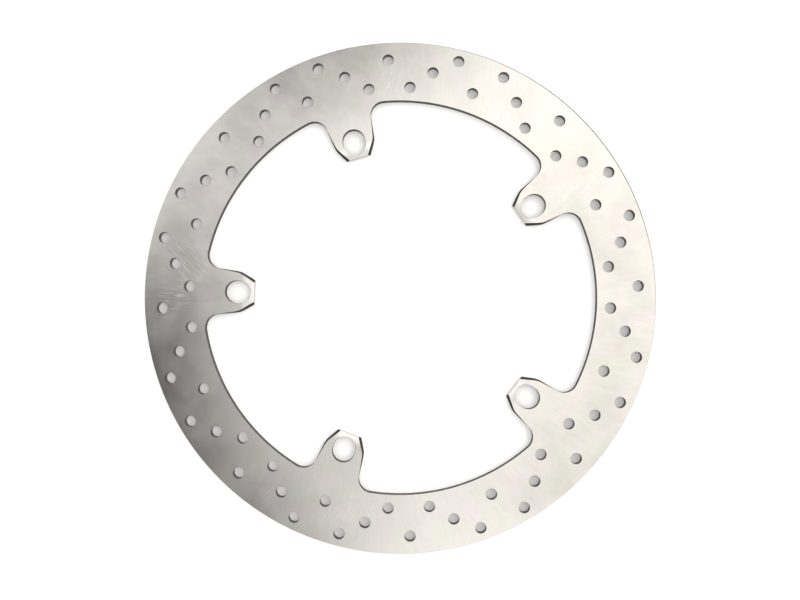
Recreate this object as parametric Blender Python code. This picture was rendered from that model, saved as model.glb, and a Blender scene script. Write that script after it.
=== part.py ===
"""Brake disc rotor for the front wheel of a motorcycle: one flat stainless steel plate, cut as a friction
band with five mounting lugs on its inside and drilled right through.

Frame: metres, +Z along the disc's axis and away from the wheel, origin on that axis in the wheel-side face.
The first lug lies on -Y. The drilling is in line with it, so the left half mirrors the right half.
"""

import math

import bpy
from mathutils import Matrix, Vector

# Plate
OUTER_DIAMETER = 0.320
THICKNESS = 0.005
BAND_WIDTH = 0.0366  # radial width of the friction band that the pads sweep

# Mounting lugs
LUG_COUNT = 5
FIRST_LUG_ANGLE = math.radians(-90)
LUG_REACH = 0.0221  # from the band's inner edge in to the centre of the slot
LUG_SIDE_WALL = 0.0059  # metal on each side of the slot
LUG_NOSE_WALL = 0.0021  # metal between the slot and the nose
LUG_NOSE_WIDTH = 0.0152
LUG_FLARE = math.radians(7)  # each side opens this much towards the band
LUG_TAPER = math.radians(30)  # each side closes this much towards the nose
LUG_SHOULDER_RADIUS = 0.012  # where the flare turns into the taper
LUG_ROOT_FILLET = 0.0085  # where the lug runs into the band

# Bobbin slot in each lug, lengthened along the radius so that the disc can grow when it is hot
SLOT_WIDTH = 0.0141
SLOT_FLOAT = 0.0019  # length beyond the width

# Drilling of the friction band: a motif of holes at an even pitch, repeated round the disc
HOLE_DIAMETER = 0.0070
RIM_WEB = 0.0041  # metal between the outermost row and the rim
BAND_EDGE_WEB = 0.0050  # metal between the innermost row and the band's inner edge
MOTIF_COUNT = 8
MOTIF_ROWS = (0.18, 1.0, 0.51, 0.0, 0.84, 0.0, 0.51, 1.0)  # 0 is the innermost row, 1 the outermost

# Straight steps that stand in for each curve
RIM_STEPS = 128
BAND_ARC_STEPS = 14
FILLET_STEPS = 7
SHOULDER_STEPS = 2
NOSE_STEPS = 3
SLOT_END_STEPS = 10
HOLE_STEPS = 16

# Sizes that follow from the ones above
RIM_RADIUS = OUTER_DIAMETER / 2
BAND_INNER_RADIUS = RIM_RADIUS - BAND_WIDTH
SLOT_CIRCLE_RADIUS = BAND_INNER_RADIUS - LUG_REACH
NOSE_RADIUS = SLOT_CIRCLE_RADIUS - (SLOT_WIDTH + SLOT_FLOAT) / 2 - LUG_NOSE_WALL
HOLE_RADIUS = HOLE_DIAMETER / 2
OUTERMOST_ROW_RADIUS = RIM_RADIUS - RIM_WEB - HOLE_RADIUS
INNERMOST_ROW_RADIUS = BAND_INNER_RADIUS + BAND_EDGE_WEB + HOLE_RADIUS

STEEL_COLOUR = (0.52, 0.51, 0.49, 1.0)
STEEL_ROUGHNESS = 0.34


def arc(centre, radius, start, end, steps):
    """Points along a circle from one angle to another, with both ends."""
    angles = [start + (end - start) * step / steps for step in range(steps + 1)]
    return [centre + radius * Vector((math.cos(angle), math.sin(angle))) for angle in angles]


def circle(centre, radius, steps):
    return arc(centre, radius, 0, 2 * math.pi, steps)[:-1]


def turned(points, angle):
    """The points turned about the disc's axis."""
    turn = Matrix.Rotation(angle, 2)
    return [turn @ point for point in points]


def lug_side():
    """One side of a lug, from the corner of its nose out to where it meets the band.

    X runs out along the lug's middle and Y across it.
    """
    half_nose = LUG_NOSE_WIDTH / 2
    taper = Vector((math.cos(LUG_TAPER), math.sin(LUG_TAPER)))
    flare = Vector((math.cos(LUG_FLARE), math.sin(LUG_FLARE)))
    into_lug = Vector((taper.y, -taper.x))
    out_of_lug = Vector((-flare.y, flare.x))
    nose_corner = Vector((math.sqrt(NOSE_RADIUS**2 - half_nose**2), half_nose))
    beside_slot = Vector((SLOT_CIRCLE_RADIUS, SLOT_WIDTH / 2 + LUG_SIDE_WALL))

    # The shoulder rounds the corner where the taper line crosses the flare line.
    to_crossing = (beside_slot - nose_corner).cross(flare) / taper.cross(flare)
    cut_back = LUG_SHOULDER_RADIUS * math.tan((LUG_TAPER - LUG_FLARE) / 2)
    shoulder_start = nose_corner + (to_crossing - cut_back) * taper
    shoulder = arc(
        shoulder_start + LUG_SHOULDER_RADIUS * into_lug,
        LUG_SHOULDER_RADIUS,
        math.pi / 2 + LUG_TAPER,
        math.pi / 2 + LUG_FLARE,
        SHOULDER_STEPS,
    )

    # The root fillet touches the flare line and, from inside, the band's inner edge.
    offset_line = beside_slot + LUG_ROOT_FILLET * out_of_lug
    centre_radius = BAND_INNER_RADIUS - LUG_ROOT_FILLET
    along = offset_line.dot(flare)
    to_centre = math.sqrt(along**2 - offset_line.length_squared + centre_radius**2) - along
    fillet_centre = offset_line + to_centre * flare
    fillet_end = math.atan2(fillet_centre.y, fillet_centre.x)
    fillet = arc(fillet_centre, LUG_ROOT_FILLET, LUG_FLARE - math.pi / 2, fillet_end, FILLET_STEPS)

    return [nose_corner, *shoulder, *fillet]


def lug_and_band():
    """One lug in full, then the band's inner edge as far as the next lug."""
    side = lug_side()
    other_side = [Vector((point.x, -point.y)) for point in reversed(side)]
    on_axis = Vector((0, 0))
    nose_end = math.atan2(side[0].y, side[0].x)
    nose = arc(on_axis, NOSE_RADIUS, -nose_end, nose_end, NOSE_STEPS)[1:-1]
    band_start = math.atan2(side[-1].y, side[-1].x)
    band_end = 2 * math.pi / LUG_COUNT - band_start
    band = arc(on_axis, BAND_INNER_RADIUS, band_start, band_end, BAND_ARC_STEPS)[1:-1]
    return [*other_side, *nose, *side, *band]


def inner_outline():
    points = []
    for lug in range(LUG_COUNT):
        points += turned(lug_and_band(), lug_angle(lug))
    return points


def lug_angle(lug):
    return FIRST_LUG_ANGLE + 2 * math.pi * lug / LUG_COUNT


def slot_outline():
    """A slot on the X axis, with round ends and its length along X."""
    half_float = Vector((SLOT_FLOAT / 2, 0))
    centre = Vector((SLOT_CIRCLE_RADIUS, 0))
    quarter = math.pi / 2
    outer_end = arc(centre + half_float, SLOT_WIDTH / 2, -quarter, quarter, SLOT_END_STEPS)
    inner_end = arc(centre - half_float, SLOT_WIDTH / 2, quarter, 3 * quarter, SLOT_END_STEPS)
    return outer_end + inner_end


def hole_centres():
    """Centres of the drilled holes, counted round from the first lug's middle."""
    hole_count = MOTIF_COUNT * len(MOTIF_ROWS)
    row_spread = OUTERMOST_ROW_RADIUS - INNERMOST_ROW_RADIUS
    centres = []
    for hole in range(hole_count):
        row = MOTIF_ROWS[hole % len(MOTIF_ROWS)]
        on_x_axis = Vector((INNERMOST_ROW_RADIUS + row * row_spread, 0))
        angle = FIRST_LUG_ANGLE + 2 * math.pi * hole / hole_count
        centres += turned([on_x_axis], angle)
    return centres


def add_outline(curve, points):
    spline = curve.splines.new("POLY")
    spline.points.add(len(points) - 1)
    for place, point in zip(spline.points, points):
        place.co = (point.x, point.y, 0, 1)
    spline.use_cyclic_u = True


def steel_material():
    material = bpy.data.materials.new("ground_stainless_steel")
    material.use_nodes = True
    shader = material.node_tree.nodes["Principled BSDF"]
    shader.inputs["Base Color"].default_value = STEEL_COLOUR
    shader.inputs["Metallic"].default_value = 1.0
    shader.inputs["Roughness"].default_value = STEEL_ROUGHNESS
    material.diffuse_color = STEEL_COLOUR
    return material


def make_rotor(collection):
    """The plate: a rim with the lugs, slots and holes cut out of it, raised to stand on the XY plane."""
    curve = bpy.data.curves.new("rotor_disc", "CURVE")
    curve.dimensions = "2D"
    curve.fill_mode = "BOTH"
    curve.extrude = THICKNESS / 2
    add_outline(curve, circle(Vector((0, 0)), RIM_RADIUS, RIM_STEPS))
    add_outline(curve, inner_outline())
    for lug in range(LUG_COUNT):
        add_outline(curve, turned(slot_outline(), lug_angle(lug)))
    for centre in hole_centres():
        add_outline(curve, circle(centre, HOLE_RADIUS, HOLE_STEPS))
    curve.materials.append(steel_material())

    rotor = bpy.data.objects.new("rotor_disc", curve)
    rotor.location.z = THICKNESS / 2
    collection.objects.link(rotor)


def main():
    for old in list(bpy.data.objects):
        bpy.data.objects.remove(old, do_unlink=True)
    collection = bpy.data.collections.new("brake_disc_rotor")
    bpy.context.scene.collection.children.link(collection)
    make_rotor(collection)


main()
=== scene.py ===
"""Looks of the brake disc rotor: the plate with its broken edges and its ground, cut and turned steel, lying
on a white studio floor and seen from straight above.

Metres, in the frame of the CAD model: +Z along the disc's axis, the wheel-side face at z = 0, the first lug
on -Y.
"""

import math
from collections import namedtuple

import bmesh
import bpy
from mathutils import Matrix, Vector


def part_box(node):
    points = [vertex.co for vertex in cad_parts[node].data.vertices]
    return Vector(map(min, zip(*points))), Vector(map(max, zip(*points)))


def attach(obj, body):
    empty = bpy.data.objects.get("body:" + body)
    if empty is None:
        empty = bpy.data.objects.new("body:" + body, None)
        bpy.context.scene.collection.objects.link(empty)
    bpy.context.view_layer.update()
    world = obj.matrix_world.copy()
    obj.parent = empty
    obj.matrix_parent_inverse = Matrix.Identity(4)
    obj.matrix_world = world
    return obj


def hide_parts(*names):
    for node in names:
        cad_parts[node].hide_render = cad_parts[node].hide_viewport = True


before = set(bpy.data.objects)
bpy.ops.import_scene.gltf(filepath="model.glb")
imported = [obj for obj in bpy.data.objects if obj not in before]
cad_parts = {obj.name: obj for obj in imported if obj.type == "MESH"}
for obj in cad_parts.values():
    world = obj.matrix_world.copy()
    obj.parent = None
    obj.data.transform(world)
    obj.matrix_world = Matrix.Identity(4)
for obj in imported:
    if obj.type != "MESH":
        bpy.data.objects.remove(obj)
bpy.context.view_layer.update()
NODE = "rotor_disc"

# Sizes of the plate: the first two come from the frame, the rest are those of the design.
low_corner, high_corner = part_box(NODE)
RIM_RADIUS = (high_corner.x - low_corner.x) / 2
THICKNESS = high_corner.z - low_corner.z
BAND_INNER_RADIUS = RIM_RADIUS - 0.0366
SLOT_CIRCLE_RADIUS = BAND_INNER_RADIUS - 0.0221
SLOT_WIDTH = 0.0141
SLOT_FLOAT = 0.0019
NOSE_RADIUS = SLOT_CIRCLE_RADIUS - (SLOT_WIDTH + SLOT_FLOAT) / 2 - 0.0021

LUG_COUNT = 5
FIRST_LUG_ANGLE = math.radians(-90)
LUG_SIDE_WALL = 0.0059
LUG_NOSE_WIDTH = 0.0152
LUG_FLARE = math.radians(7)
LUG_TAPER = math.radians(30)
LUG_SHOULDER_RADIUS = 0.012
LUG_ROOT_FILLET = 0.0085

HOLE_RADIUS = 0.0035
OUTERMOST_ROW_RADIUS = RIM_RADIUS - 0.0041 - HOLE_RADIUS
INNERMOST_ROW_RADIUS = BAND_INNER_RADIUS + 0.0050 + HOLE_RADIUS
MOTIF_COUNT = 8
MOTIF_ROWS = (0.18, 1.0, 0.51, 0.0, 0.84, 0.0, 0.51, 1.0)  # 0 is the innermost row, 1 the outermost

# Edge breaks, all at 45 degrees and on both faces
RIM_BREAK = 0.00008
RIM_BREAK_GROWTH = 0.00062  # the rim's break is this much wider at one place
WIDE_RIM_ANGLE = math.radians(60)
RIM_BREAK_FADE = 4  # the higher, the shorter the wide stretch
HOLE_BREAK = 0.00006
SLOT_BREAK = 0.00010
CUT_BREAK = 0.00010  # along the band's inner edge
FLANK_BREAK = 0.0015  # at the corners of a lug's nose, where the break along its flanks ends

# Towards a lug's nose both faces fall away in a curve, this far back from it and this deep.
NOSE_ROLL_REACH = 0.0075
NOSE_ROLL_DROP = 0.0006
HALF_LUG = 0.020  # more than half of a lug's width as far out as the curve reaches

# Steps of the round stretches
RIM_STEPS = 512
BAND_ARC_STEPS = 72
FILLET_STEPS = 20
SHOULDER_STEPS = 8
FLANK_STEPS = 8
NOSE_STEPS = 12
SLOT_END_STEPS = 28
HOLE_STEPS = 48
NOSE_ROLL_STEPS = 6

MERGE_DISTANCE = 1e-6
SHARP_ANGLE = math.radians(25)
WALL_LEVEL = 1  # the wall's place among the three strips that run round an outline, between its two breaks

GROUND, CUT, DRILLED, TURNED = range(4)  # the plate's finishes, in the order of its material slots

BAND_MIDDLE_RADIUS = (RIM_RADIUS + BAND_INNER_RADIUS) / 2

# Steel
GROUND_COLOUR = (0.505, 0.490, 0.474)
ROSY_STEEL = (0.513, 0.487, 0.477)
GREENISH_STEEL = (0.498, 0.499, 0.462)
CUT_COLOUR = (0.045, 0.043, 0.041)
# Painted shade: the drilled walls are coloured dark, standing in for the shade inside the holes.
DRILLED_SHADE_COLOUR = (0.14, 0.135, 0.13)
TURNED_COLOUR = (0.50, 0.49, 0.475)
GROUND_ROUGHNESS = (0.18, 0.22)
CUT_ROUGHNESS = (0.42, 0.60)
TURNED_ROUGHNESS = (0.25, 0.40)

# Nearly all of a noise's values lie between these two.
NOISE_LOW = 0.3
NOISE_HIGH = 0.7

# Lines on the ground faces, as lean from the radius and as width and length at the band
Lines = namedtuple("Lines", "lean width length")
FINE_LINES = Lines(math.radians(18), 0.00030, 0.014)
CROSSING_LINES = Lines(math.radians(-34), 0.00042, 0.009)
FANS = Lines(math.radians(8), 0.0030, 0.060)
FINE_SHARE = 0.6  # of the grain, the rest being the crossing lines

# Noise scales of the ground faces, in steps per metre
CLOUD_SCALE = 55.0
SPECK_SCALE = 900.0
TINT_SCALE = 62.0
PLAIN_SCALE = 80.0
PLAIN_SHIFT = (3.1, 7.7, 1.3)  # keeps the plain stretches from following the tints

# The noise values between which each pattern sets in
SPECK_EDGE = (0.74, 0.80)
TINT_EDGE = (0.40, 0.60)
PLAIN_EDGE = (0.45, 0.65)
SCRATCH_EDGE = (0.58, 0.70)

# How far each pattern lightens and darkens the ground faces, as shares of their brightness
CLOUD_SPREAD = 0.05
GRAIN_SPREAD = 0.035
FAN_SPREAD = 0.015
SCRATCH_LIGHT = 0.08
SPECK_DARK = 0.12

GRAIN_DEPTH = 0.000012
GRAIN_BUMP = 0.5
SCRATCH_BUMP = 0.5
SCRATCH_ROUGHNESS = 0.08  # added where the steel is scratched

SCRATCH_WIDTH = 0.00045
SCRATCH_LENGTH = 0.011
SCRATCH_CORE = 0.3  # share of a patch's reach within which it is fully scratched

# Scratched patches: angle in degrees and radius of the middle, reach, and slant of the scratches in degrees
SCRATCHED = (
    (190, 0.134, 0.022, -28),
    (201, 0.142, 0.016, 20),
    (-86, 0.134, 0.026, 85),
    (-78, 0.140, 0.022, 112),
    (-104, 0.146, 0.014, 60),
    (111, 0.134, 0.014, 84),
    (16, 0.148, 0.018, 12),
)

# Lines on the cut and drilled walls, straight through the plate, and on the turned ones, round the axis
CUT_LINE_WIDTH = 0.00035
CUT_LINE_LENGTH = 0.004
CUT_SPREAD = 0.4
CUT_DEPTH = 0.00005
TURNED_LINE_WIDTH = 0.00012
TURNED_LINE_LENGTH = 0.02
TURNED_DARKEST = 0.8
TURNED_DEPTH = 0.00002

# Studio. Angles run round from +X, and a light's are measured from straight up.
FLOOR_SIZE = 6.0
FLOOR_GAP = 0.0002
FLOOR_PAINTED_GLOW = 0.12  # painted glow: the floor gives off light of its own, which brightens the floor seen through the holes and the slots
FLOOR_GRAIN_SCALE = 700.0
WHITE = (1.0, 1.0, 1.0, 1.0)
FLOOR_PALE = (0.81, 0.81, 0.81, 1.0)
FLOOR_DARKER = (0.79, 0.79, 0.79, 1.0)
ROOM_LIGHT = 2.08
HORIZON_SHARE = 0.42  # of the room's brightness that is left all round at floor level
DIM_BELOW = 0.1  # sine of the height up to which the room is that dim
FULL_ABOVE = 0.75  # sine of the height from which the room is fully bright
NEUTRAL_LIGHT = (1.0, 0.99, 0.985, 1.0)
WARM_LIGHT = (1.0, 0.975, 0.925, 1.0)
WARM_SIDE_ANGLE = math.radians(20)
WARM_EDGE = 0.3  # the light turns from neutral to warm within this sine on both sides of the middle
SKY_PATCHES = (  # angle, from the zenith and radius, in degrees, and the change in strength at the middle
    (-10, 6.5, 16, -2.4),
    (-135, 19, 23, -2.4),
    (138, 31, 24, -2.0),
    (12, 13, 10, 0.8),
    (-78, 3, 18, 2.2),
    (169, 31, 18, 1.7),
    (65, 68, 58, 0.9),
    (-115, 68, 58, -0.9),
)

# Camera
LENS = 37.41
SENSOR_WIDTH = 36.0
CAMERA_HEIGHT = 0.52  # above the face
CAMERA_OFFSET = 0.0134
CAMERA_OFFSET_ANGLE = math.radians(-23.2)
AIM_OFFSET = 0.00195
AIM_OFFSET_ANGLE = math.radians(-52.3)
PICTURE_UP_ANGLE = math.radians(109.87)
CLIP_START = 0.01

# A point of an outline: where the wall stands, where the edge break meets the faces, how far the break
# reaches down the wall, and the finish of the wall from this point to the next one.
EdgePoint = namedtuple("EdgePoint", "wall face drop finish")


def direction(angle):
    return Vector((math.cos(angle), math.sin(angle)))


def arc(centre, radius, start, end, steps):
    """Points along a circle from one angle to another, with both ends."""
    return [centre + radius * direction(start + (end - start) * step / steps) for step in range(steps + 1)]


def line(start, end, steps):
    """Points along a straight stretch, with both ends."""
    return [start.lerp(end, step / steps) for step in range(steps + 1)]


def turned(edge, angle):
    """The points of an edge turned about the disc's axis."""
    turn = Matrix.Rotation(angle, 2)
    return [point._replace(wall=turn @ point.wall, face=turn @ point.face) for point in edge]


def mirrored(edge):
    """The points of an edge mirrored in the X axis, in the opposite order."""
    flip = Vector((1, -1))
    return [point._replace(wall=point.wall * flip, face=point.face * flip) for point in reversed(edge)]


def broken_edge(points, widths, finish):
    """An open stretch of an outline that runs with the metal on its right, with its edge breaks."""
    edge = []
    for index, (point, width) in enumerate(zip(points, widths)):
        before = points[max(index - 1, 0)]
        after = points[min(index + 1, len(points) - 1)]
        along = (after - before).normalized()
        into_metal = Vector((along.y, -along.x))
        edge.append(EdgePoint(point, point + width * into_metal, width, finish))
    return edge


def rim_edge():
    """The rim, with a break that is wide on one side and fine elsewhere."""
    edge = []
    for step in range(RIM_STEPS):
        angle = 2 * math.pi * step / RIM_STEPS
        nearness = max(math.cos(angle - WIDE_RIM_ANGLE), 0)
        width = RIM_BREAK + RIM_BREAK_GROWTH * nearness**RIM_BREAK_FADE
        out = direction(angle)
        edge.append(EdgePoint(RIM_RADIUS * out, (RIM_RADIUS - width) * out, width, TURNED))
    return edge


def hole_edge(centre):
    edge = []
    for step in range(HOLE_STEPS):
        out = direction(2 * math.pi * step / HOLE_STEPS)
        face = centre + (HOLE_RADIUS + HOLE_BREAK) * out
        edge.append(EdgePoint(centre + HOLE_RADIUS * out, face, HOLE_BREAK, DRILLED))
    return edge


def nose_corner_on_face(corner, taper, width):
    """Where a flank's break, set back by its width, comes out on the nose's arc."""
    into_metal = Vector((taper.y, -taper.x))
    start = corner + width * into_metal
    along = start.dot(taper)
    back = along - math.sqrt(along**2 - start.length_squared + NOSE_RADIUS**2)
    return start - back * taper


def lug_side():
    """One side of a lug, from the corner of its nose out to where it meets the band.

    X runs out along the lug's middle and Y across it. The break widens from the root to the nose.
    """
    half_nose = LUG_NOSE_WIDTH / 2
    taper = direction(LUG_TAPER)
    flare = direction(LUG_FLARE)
    into_lug = Vector((taper.y, -taper.x))
    out_of_lug = Vector((-flare.y, flare.x))
    corner = Vector((math.sqrt(NOSE_RADIUS**2 - half_nose**2), half_nose))
    beside_slot = Vector((SLOT_CIRCLE_RADIUS, SLOT_WIDTH / 2 + LUG_SIDE_WALL))

    # The shoulder rounds the corner where the taper line crosses the flare line.
    to_crossing = (beside_slot - corner).cross(flare) / taper.cross(flare)
    cut_back = LUG_SHOULDER_RADIUS * math.tan((LUG_TAPER - LUG_FLARE) / 2)
    shoulder_start = corner + (to_crossing - cut_back) * taper
    shoulder = arc(
        shoulder_start + LUG_SHOULDER_RADIUS * into_lug,
        LUG_SHOULDER_RADIUS,
        math.pi / 2 + LUG_TAPER,
        math.pi / 2 + LUG_FLARE,
        SHOULDER_STEPS,
    )

    # The root fillet touches the flare line and, from inside, the band's inner edge.
    offset_line = beside_slot + LUG_ROOT_FILLET * out_of_lug
    centre_radius = BAND_INNER_RADIUS - LUG_ROOT_FILLET
    along = offset_line.dot(flare)
    to_centre = math.sqrt(along**2 - offset_line.length_squared + centre_radius**2) - along
    fillet_centre = offset_line + to_centre * flare
    fillet_end = math.atan2(fillet_centre.y, fillet_centre.x)
    fillet = arc(fillet_centre, LUG_ROOT_FILLET, LUG_FLARE - math.pi / 2, fillet_end, FILLET_STEPS)

    points = [
        *line(corner, shoulder_start, FLANK_STEPS)[:-1],
        *shoulder,
        *line(shoulder[-1], fillet[0], FLANK_STEPS)[1:-1],
        *fillet,
    ]
    length = fillet[0].x - corner.x
    shares = [min(max((fillet[0].x - point.x) / length, 0), 1) for point in points]
    widths = [CUT_BREAK + share * (FLANK_BREAK - CUT_BREAK) for share in shares]
    edge = broken_edge(points, widths, CUT)
    on_face = nose_corner_on_face(corner, taper, FLANK_BREAK)
    edge[0] = EdgePoint(corner, on_face, FLANK_BREAK, TURNED)
    return edge


def lug_and_band():
    """One lug in full, then the band's inner edge as far as the next lug."""
    side = lug_side()
    on_axis = Vector((0, 0))
    nose_end = math.atan2(side[0].face.y, side[0].face.x)
    nose_points = arc(on_axis, NOSE_RADIUS, -nose_end, nose_end, NOSE_STEPS)
    nose = [EdgePoint(point, point, 0, TURNED) for point in nose_points]
    band_start = math.atan2(side[-1].wall.y, side[-1].wall.x)
    band_end = 2 * math.pi / LUG_COUNT - band_start
    band_points = arc(on_axis, BAND_INNER_RADIUS, band_start, band_end, BAND_ARC_STEPS)
    band = broken_edge(band_points, [CUT_BREAK] * len(band_points), CUT)[1:-1]
    return [*mirrored(side), *nose, *side, *band]


def lug_angle(lug):
    return FIRST_LUG_ANGLE + 2 * math.pi * lug / LUG_COUNT


def inner_edge():
    edge = []
    for lug in range(LUG_COUNT):
        edge += turned(lug_and_band(), lug_angle(lug))
    return edge


def slot_edge():
    """A slot on the X axis, with round ends and its length along X."""
    half_float = Vector((SLOT_FLOAT / 2, 0))
    centre = Vector((SLOT_CIRCLE_RADIUS, 0))
    quarter = math.pi / 2
    edge = []
    for end, start in ((half_float, -quarter), (-half_float, quarter)):
        walls = arc(centre + end, SLOT_WIDTH / 2, start, start + 2 * quarter, SLOT_END_STEPS)
        faces = arc(centre + end, SLOT_WIDTH / 2 + SLOT_BREAK, start, start + 2 * quarter, SLOT_END_STEPS)
        edge += [EdgePoint(wall, face, SLOT_BREAK, CUT) for wall, face in zip(walls, faces)]
    return edge


def hole_centres():
    """Centres of the drilled holes, counted round from the first lug's middle."""
    hole_count = MOTIF_COUNT * len(MOTIF_ROWS)
    row_spread = OUTERMOST_ROW_RADIUS - INNERMOST_ROW_RADIUS
    centres = []
    for hole in range(hole_count):
        row = MOTIF_ROWS[hole % len(MOTIF_ROWS)]
        angle = FIRST_LUG_ANGLE + 2 * math.pi * hole / hole_count
        centres.append((INNERMOST_ROW_RADIUS + row * row_spread) * direction(angle))
    return centres


def add_walls(shape, edge):
    """The wall round one outline and its two edge breaks, between four rings of vertices."""
    rings = [
        [shape.verts.new((*point.face, 0)) for point in edge],
        [shape.verts.new((*point.wall, point.drop)) for point in edge],
        [shape.verts.new((*point.wall, THICKNESS - point.drop)) for point in edge],
        [shape.verts.new((*point.face, THICKNESS)) for point in edge],
    ]
    for level, (lower, upper) in enumerate(zip(rings, rings[1:])):
        for here, point in enumerate(edge):
            after = (here + 1) % len(edge)
            wall = shape.faces.new((lower[here], lower[after], upper[after], upper[here]))
            whole = point.finish == edge[after].finish and (level == WALL_LEVEL or point.finish == DRILLED)
            wall.material_index = point.finish if whole else CUT


def fill_face(shape, height):
    """The flat face at one height, between the rings that the walls end in."""
    border = [
        edge
        for edge in shape.edges
        if edge.is_boundary and all(abs(vertex.co.z - height) < MERGE_DISTANCE for vertex in edge.verts)
    ]
    filled = bmesh.ops.triangle_fill(shape, edges=border, use_beauty=True, normal=(0, 0, 1))
    for made in filled["geom"]:
        if isinstance(made, bmesh.types.BMFace):
            made.material_index = GROUND


def beside_lug(vertex, out):
    """Whether a vertex is within half a lug's width of the line that runs out along the lug's middle."""
    across = Vector((-out.y, out.x, 0))
    return vertex.co.dot(out) > 0 and abs(vertex.co.dot(across)) < HALF_LUG


def roll_noses(shape):
    """The faces are cut across near each lug's nose and lowered there along a curve."""
    for lug in range(LUG_COUNT):
        out = direction(lug_angle(lug)).to_3d()
        faces = [face for face in shape.faces if all(beside_lug(vertex, out) for vertex in face.verts)]
        edges = dict.fromkeys(edge for face in faces for edge in face.edges)
        vertices = dict.fromkeys(vertex for face in faces for vertex in face.verts)
        pieces = [*vertices, *edges, *faces]
        for step in range(1, NOSE_ROLL_STEPS + 1):
            reach = NOSE_RADIUS + NOSE_ROLL_REACH * step / NOSE_ROLL_STEPS
            pieces = bmesh.ops.bisect_plane(
                shape, geom=pieces, dist=MERGE_DISTANCE, plane_co=reach * out, plane_no=out
            )["geom"]
        for vertex in shape.verts:
            share = (NOSE_RADIUS + NOSE_ROLL_REACH - vertex.co.dot(out)) / NOSE_ROLL_REACH
            if beside_lug(vertex, out) and share > 0:
                drop = NOSE_ROLL_DROP * share**2
                vertex.co.z += drop if vertex.co.z < THICKNESS / 2 else -drop


def make_plate(finishes):
    shape = bmesh.new()
    add_walls(shape, rim_edge())
    add_walls(shape, inner_edge())
    for lug in range(LUG_COUNT):
        add_walls(shape, turned(slot_edge(), lug_angle(lug)))
    for hole in hole_centres():
        add_walls(shape, hole_edge(hole))
    bmesh.ops.remove_doubles(shape, verts=shape.verts, dist=MERGE_DISTANCE)
    fill_face(shape, 0)
    fill_face(shape, THICKNESS)
    roll_noses(shape)
    bmesh.ops.recalc_face_normals(shape, faces=shape.faces)
    mesh = bpy.data.meshes.new("rotor_plate")
    shape.to_mesh(mesh)
    shape.free()
    for finish in finishes:
        mesh.materials.append(finish)
    mesh.shade_smooth()
    mesh.set_sharp_from_angle(angle=SHARP_ANGLE)
    plate = bpy.data.objects.new("rotor_plate", mesh)
    bpy.context.scene.collection.objects.link(plate)
    return plate


class Shade:
    """Short calls that add nodes to one node tree and link them."""

    def __init__(self, tree):
        self.tree = tree

    def give(self, socket, value):
        """Links an output to the socket, or sets its value."""
        if isinstance(value, bpy.types.NodeSocket):
            self.tree.links.new(value, socket)
        else:
            socket.default_value = value

    def node(self, kind, inputs, output=0, **settings):
        made = self.tree.nodes.new(kind)
        for name, value in settings.items():
            setattr(made, name, value)
        for name, value in inputs.items():
            self.give(made.inputs[name], value)
        return made.outputs[output]

    def maths(self, operation, *values, clamp=False):
        return self.node("ShaderNodeMath", dict(enumerate(values)), operation=operation, use_clamp=clamp)

    def vector(self, operation, *values):
        return self.node("ShaderNodeVectorMath", dict(enumerate(values)), operation=operation)

    def length(self, vector):
        return self.node("ShaderNodeVectorMath", {0: vector}, output="Value", operation="LENGTH")

    def dot(self, first, second):
        inputs = {0: first, 1: second}
        return self.node("ShaderNodeVectorMath", inputs, output="Value", operation="DOT_PRODUCT")

    def stretched(self, value, low, high, to_low=0.0, to_high=1.0, smooth=True):
        """The value's range from low to high carried to another range, and held at its ends."""
        inputs = {"Value": value, "From Min": low, "From Max": high, "To Min": to_low, "To Max": to_high}
        kind = "SMOOTHSTEP" if smooth else "LINEAR"
        return self.node("ShaderNodeMapRange", inputs, interpolation_type=kind)

    def noise(self, vector, scale, detail=2.0, roughness=0.5):
        inputs = {"Vector": vector, "Scale": scale, "Detail": detail, "Roughness": roughness}
        return self.node("ShaderNodeTexNoise", inputs)

    def ranged(self, field, low, high):
        """A noise's values carried to a range in proportion."""
        return self.stretched(field, NOISE_LOW, NOISE_HIGH, low, high, smooth=False)

    def blend(self, share, first, second, kind="MIX"):
        inputs = {0: share, 6: first, 7: second}
        return self.node("ShaderNodeMix", inputs, output=2, data_type="RGBA", blend_type=kind)

    def place(self):
        """The point that is shaded, in metres in the part's frame."""
        return self.node("ShaderNodeTexCoord", {}, output="Object")


def steel(name, colour, roughness):
    """A metal material, with a Shade for its tree and its shader's inputs.

    The plain colour and roughness serve viewers that don't read the patterns' nodes.
    """
    material = bpy.data.materials.new(name)
    material.use_nodes = True
    material.diffuse_color = (*colour, 1.0)
    shader = material.node_tree.nodes["Principled BSDF"]
    shader.inputs["Base Color"].default_value = (*colour, 1.0)
    shader.inputs["Roughness"].default_value = roughness
    shader.inputs["Metallic"].default_value = 1.0
    return material, Shade(material.node_tree), shader.inputs


def lean_lines(shade, place, lines):
    """Noise drawn out into lines that cross the band and lean from the radius."""
    flat = shade.vector("MULTIPLY", place, (1, 1, 0))
    radius = shade.length(flat)
    unit = shade.vector("NORMALIZE", flat)
    turns = shade.maths("MULTIPLY", shade.maths("LOGARITHM", radius, math.e), -math.tan(lines.lean))
    unit = shade.node("ShaderNodeVectorRotate", {"Vector": unit, "Angle": turns}, rotation_type="Z_AXIS")
    spread = shade.vector("SCALE", unit)
    spread.node.inputs["Scale"].default_value = BAND_MIDDLE_RADIUS / lines.width
    out = shade.maths("MULTIPLY", radius, 1 / lines.length)
    lift = shade.node("ShaderNodeCombineXYZ", {"Z": out})
    return shade.noise(shade.vector("ADD", spread, lift), 1.0, detail=3.0, roughness=0.6)


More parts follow.
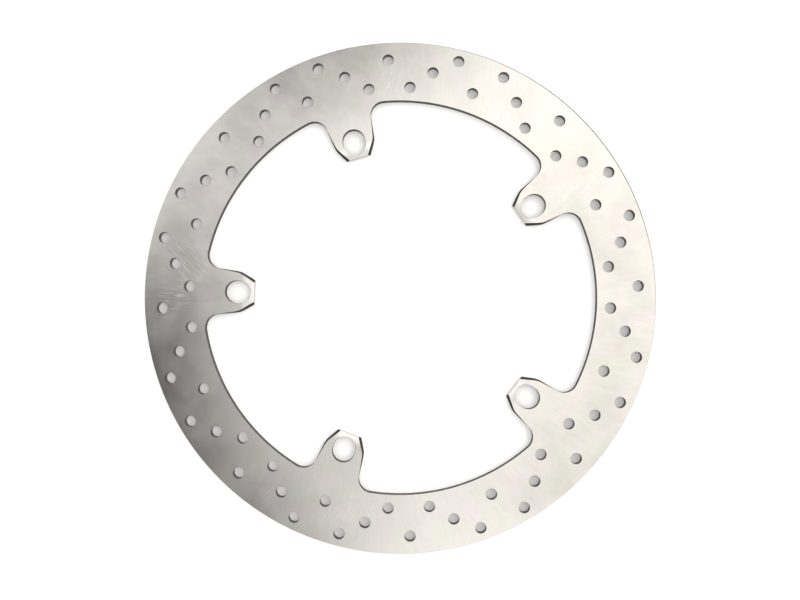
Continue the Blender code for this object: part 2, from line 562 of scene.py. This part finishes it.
def strokes(shade, place, centre, reach, slant):
    """Straight short scratches at one slant, from 0 to 1, within reach of a centre."""
    turned_place = shade.node(
        "ShaderNodeVectorRotate", {"Vector": place, "Angle": -slant}, rotation_type="Z_AXIS"
    )
    drawn = shade.vector("MULTIPLY", turned_place, (1 / SCRATCH_LENGTH, 1 / SCRATCH_WIDTH, 0))
    field = shade.stretched(shade.noise(drawn, 1.0, detail=0.0), *SCRATCH_EDGE)
    distance = shade.length(shade.vector("SUBTRACT", place, centre))
    return shade.maths("MULTIPLY", field, shade.stretched(distance, SCRATCH_CORE * reach, reach, 1.0, 0.0))


def ground_steel():
    """The ground faces: fine lines from the grinding wheel, handling scratches and faint stains."""
    material, shade, inputs = steel("ground_steel", GROUND_COLOUR, 0.20)
    place = shade.place()

    fine = shade.maths("MULTIPLY", lean_lines(shade, place, FINE_LINES), FINE_SHARE)
    crossing = shade.maths("MULTIPLY", lean_lines(shade, place, CROSSING_LINES), 1 - FINE_SHARE)
    grain = shade.maths("ADD", fine, crossing)
    fans = lean_lines(shade, place, FANS)

    clouds = shade.noise(place, CLOUD_SCALE, detail=3.0, roughness=0.55)
    specks = shade.stretched(shade.noise(place, SPECK_SCALE, detail=1.0), *SPECK_EDGE)
    greenish = shade.stretched(shade.noise(place, TINT_SCALE, detail=2.5), *TINT_EDGE)
    shifted = shade.vector("ADD", place, PLAIN_SHIFT)
    plain = shade.stretched(shade.noise(shifted, PLAIN_SCALE, detail=2.5), *PLAIN_EDGE)

    marks = 0.0
    for angle, radius, reach, slant in SCRATCHED:
        centre = radius * direction(math.radians(angle))
        patch = strokes(shade, place, (centre.x, centre.y, THICKNESS), reach, math.radians(slant))
        marks = shade.maths("MAXIMUM", marks, patch)

    light = shade.ranged(clouds, 1 - CLOUD_SPREAD, 1 + CLOUD_SPREAD)
    light = shade.maths("MULTIPLY", light, shade.ranged(grain, 1 - GRAIN_SPREAD, 1 + GRAIN_SPREAD))
    light = shade.maths("MULTIPLY", light, shade.ranged(fans, 1 - FAN_SPREAD, 1 + FAN_SPREAD))
    light = shade.maths("ADD", light, shade.maths("MULTIPLY", marks, SCRATCH_LIGHT))
    light = shade.maths("SUBTRACT", light, shade.maths("MULTIPLY", specks, SPECK_DARK))
    base = shade.blend(greenish, (*ROSY_STEEL, 1.0), (*GREENISH_STEEL, 1.0))
    base = shade.blend(plain, base, (*GROUND_COLOUR, 1.0))
    lit = shade.node("ShaderNodeCombineColor", {"Red": light, "Green": light, "Blue": light})
    shade.give(inputs["Base Color"], shade.blend(1.0, base, lit, "MULTIPLY"))

    rough = shade.ranged(clouds, *GROUND_ROUGHNESS)
    rough = shade.maths("ADD", rough, shade.maths("MULTIPLY", marks, SCRATCH_ROUGHNESS))
    shade.give(inputs["Roughness"], rough)

    height = shade.maths("SUBTRACT", grain, shade.maths("MULTIPLY", marks, SCRATCH_BUMP))
    bump = shade.node("ShaderNodeBump", {"Strength": GRAIN_BUMP, "Distance": GRAIN_DEPTH, "Height": height})
    shade.give(inputs["Normal"], bump)
    return material


def cut_steel(name, colour):
    """The walls that the laser or the drill leaves, with fine lines straight through the plate."""
    material, shade, inputs = steel(name, colour, 0.5)
    place = shade.place()
    drawn = shade.vector("MULTIPLY", place, (1 / CUT_LINE_WIDTH, 1 / CUT_LINE_WIDTH, 1 / CUT_LINE_LENGTH))
    lines = shade.noise(drawn, 1.0, detail=2.0)
    dark = tuple(channel * (1 - CUT_SPREAD) for channel in colour)
    bright = tuple(channel * (1 + CUT_SPREAD) for channel in colour)
    shade.give(inputs["Base Color"], shade.blend(shade.ranged(lines, 0, 1), (*dark, 1.0), (*bright, 1.0)))
    shade.give(inputs["Roughness"], shade.ranged(lines, *CUT_ROUGHNESS))
    bump = shade.node("ShaderNodeBump", {"Strength": 0.6, "Distance": CUT_DEPTH, "Height": lines})
    shade.give(inputs["Normal"], bump)
    return material


def turned_steel(name, colour):
    """A lathe's finish: fine lines that run round the axis at each height."""
    material, shade, inputs = steel(name, colour, 0.3)
    place = shade.place()
    round_axis = 1 / TURNED_LINE_LENGTH
    drawn = shade.vector("MULTIPLY", place, (round_axis, round_axis, 1 / TURNED_LINE_WIDTH))
    lines = shade.noise(drawn, 1.0, detail=2.0)
    dark = tuple(channel * TURNED_DARKEST for channel in colour)
    shade.give(inputs["Base Color"], shade.blend(shade.ranged(lines, 0, 1), (*dark, 1.0), (*colour, 1.0)))
    shade.give(inputs["Roughness"], shade.ranged(lines, *TURNED_ROUGHNESS))
    bump = shade.node("ShaderNodeBump", {"Strength": 0.5, "Distance": TURNED_DEPTH, "Height": lines})
    shade.give(inputs["Normal"], bump)
    return material


def glowing_floor():
    """The studio's white floor, which glows with a painted light of its own."""
    material = bpy.data.materials.new("glowing_floor")
    material.use_nodes = True
    shade = Shade(material.node_tree)
    inputs = material.node_tree.nodes["Principled BSDF"].inputs
    clouds = shade.noise(shade.place(), FLOOR_GRAIN_SCALE, detail=2.0)
    shade.give(inputs["Base Color"], shade.blend(clouds, FLOOR_DARKER, FLOOR_PALE))
    inputs["Roughness"].default_value = 0.9
    inputs["Specular IOR Level"].default_value = 0.2
    # Painted glow, not a lamp: it brightens the floor seen through the holes and the slots.
    inputs["Emission Color"].default_value = WHITE
    inputs["Emission Strength"].default_value = FLOOR_PAINTED_GLOW
    return material


def make_floor():
    bpy.ops.mesh.primitive_plane_add(size=FLOOR_SIZE, location=(0, 0, -FLOOR_GAP))
    floor = bpy.context.object
    floor.name = "studio_floor"
    floor.data.materials.append(glowing_floor())


def sky_direction(angle, from_zenith):
    across = math.sin(from_zenith) * direction(angle)
    return (across.x, across.y, math.cos(from_zenith))


def light_room():
    """The studio round the disc: pale, and bright or dark in broad soft patches overhead."""
    world = bpy.data.worlds.new("studio")
    bpy.context.scene.world = world
    world.use_nodes = True
    shade = Shade(world.node_tree)
    towards = shade.node("ShaderNodeTexCoord", {}, output="Generated")
    strength = ROOM_LIGHT
    for angle, from_zenith, radius, change in SKY_PATCHES:
        nearness = shade.dot(towards, sky_direction(math.radians(angle), math.radians(from_zenith)))
        cover = shade.stretched(nearness, math.cos(math.radians(radius)), 1.0)
        strength = shade.maths("ADD", strength, shade.maths("MULTIPLY", cover, change))
    height = shade.dot(towards, (0, 0, 1))
    share = shade.stretched(height, DIM_BELOW, FULL_ABOVE, HORIZON_SHARE, 1.0)
    strength = shade.maths("MULTIPLY", strength, share)
    background = world.node_tree.nodes["Background"].inputs
    side = shade.dot(towards, direction(WARM_SIDE_ANGLE).to_3d())
    colour = shade.blend(shade.stretched(side, -WARM_EDGE, WARM_EDGE), NEUTRAL_LIGHT, WARM_LIGHT)
    shade.give(background["Color"], colour)
    shade.give(background["Strength"], shade.maths("MAXIMUM", strength, 0.0))


def make_camera():
    """The camera looks straight down, a little off the axis, with the picture turned about it."""
    camera = bpy.data.objects.new("camera", bpy.data.cameras.new("camera"))
    camera.data.lens = LENS
    camera.data.sensor_width = SENSOR_WIDTH
    camera.data.clip_start = CLIP_START
    aim = (AIM_OFFSET * direction(AIM_OFFSET_ANGLE)).to_3d()
    aim.z = THICKNESS
    eye = (CAMERA_OFFSET * direction(CAMERA_OFFSET_ANGLE)).to_3d()
    eye.z = THICKNESS + CAMERA_HEIGHT
    backward = (eye - aim).normalized()
    right = direction(PICTURE_UP_ANGLE).to_3d().cross(backward).normalized()
    up = backward.cross(right)
    camera.matrix_world = Matrix.Translation(eye) @ Matrix((right, up, backward)).transposed().to_4x4()
    bpy.context.scene.collection.objects.link(camera)
    bpy.context.scene.camera = camera


finishes = [
    ground_steel(),
    cut_steel("laser_cut_steel", CUT_COLOUR),
    # the drilled walls' dark colour is painted shade
    cut_steel("shaded_drilled_steel", DRILLED_SHADE_COLOUR),
    turned_steel("turned_steel", TURNED_COLOUR),
]
plate = make_plate(finishes)
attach(plate, "root")
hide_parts(NODE)

make_floor()
light_room()
make_camera()
bpy.context.scene.view_settings.view_transform = "Standard"
